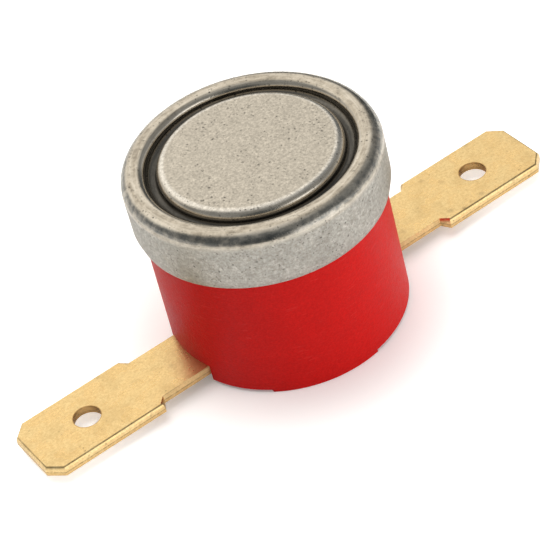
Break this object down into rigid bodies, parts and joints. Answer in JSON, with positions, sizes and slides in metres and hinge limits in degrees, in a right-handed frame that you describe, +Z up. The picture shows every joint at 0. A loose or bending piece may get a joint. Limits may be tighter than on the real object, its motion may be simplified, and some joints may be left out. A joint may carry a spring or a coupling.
{
  "type": "bimetal thermostat",
  "caption": "Sealed snap-disc bimetal thermostat: drawn metal cap with a raised sensing plateau on a round red moulded base, with flat brass tab terminals on opposite sides.",
  "frame": {"origin": "on the cap's axis, at the surface that the land under the base stands on", "axes": "+Z up along the cap's axis, from the base to the sensing plateau; +X along the terminals"},
  "size_m": [0.0454, 0.0188, 0.0152],
  "materials": {
    "cap_aluminium": "satin drawn sheet with fine pits",
    "bimetal": "rolled sheet",
    "seat_phenolic": "moulded, matt",
    "ceramic": "fired, matt",
    "red_phenolic": "moulded, satin",
    "tab_brass": "stamped sheet with light tarnish",
    "rivet_brass": "headed wire",
    "spring_bronze": "rolled spring strip",
    "plated_steel": "nickel plated",
    "contact_silver": "silver, matt"
  },
  "bodies": {
    "housing": {"sensing_cap": "cap_aluminium", "bimetal_disc": "bimetal", "disc_seat": "seat_phenolic", "base": "red_phenolic", "left_terminal": "tab_brass", "right_terminal": "tab_brass", "left_rivet": "rivet_brass", "right_rivet": "rivet_brass", "arm_washer": "plated_steel", "fixed_strip": "tab_brass", "fixed_contact": "contact_silver"},
    "pin": {"push_pin": "ceramic"},
    "arm": {"contact_arm": "spring_bronze", "moving_contact": "contact_silver"}
  },
  "joints": [
    {"name": "pin_slide", "type": "slide", "parent": "housing", "child": "pin", "axis": [0, 0, -1], "range_m": [0, 0.0007], "deforming": ["bimetal_disc"]},
    {"name": "arm_bend", "type": "hinge", "parent": "housing", "child": "arm", "pos_m": [-0.00445, 0, 0.00573], "axis": [0, 1, 0], "range_deg": [0, 9.1], "stiffness_Nm_per_rad": 0.02, "springref_deg": -2.86, "deforming": ["contact_arm"]}
  ],
  "couplings": [
    {"joint": "arm_bend", "follows": "pin_slide", "rad_per_m": 225.71}
  ]
}
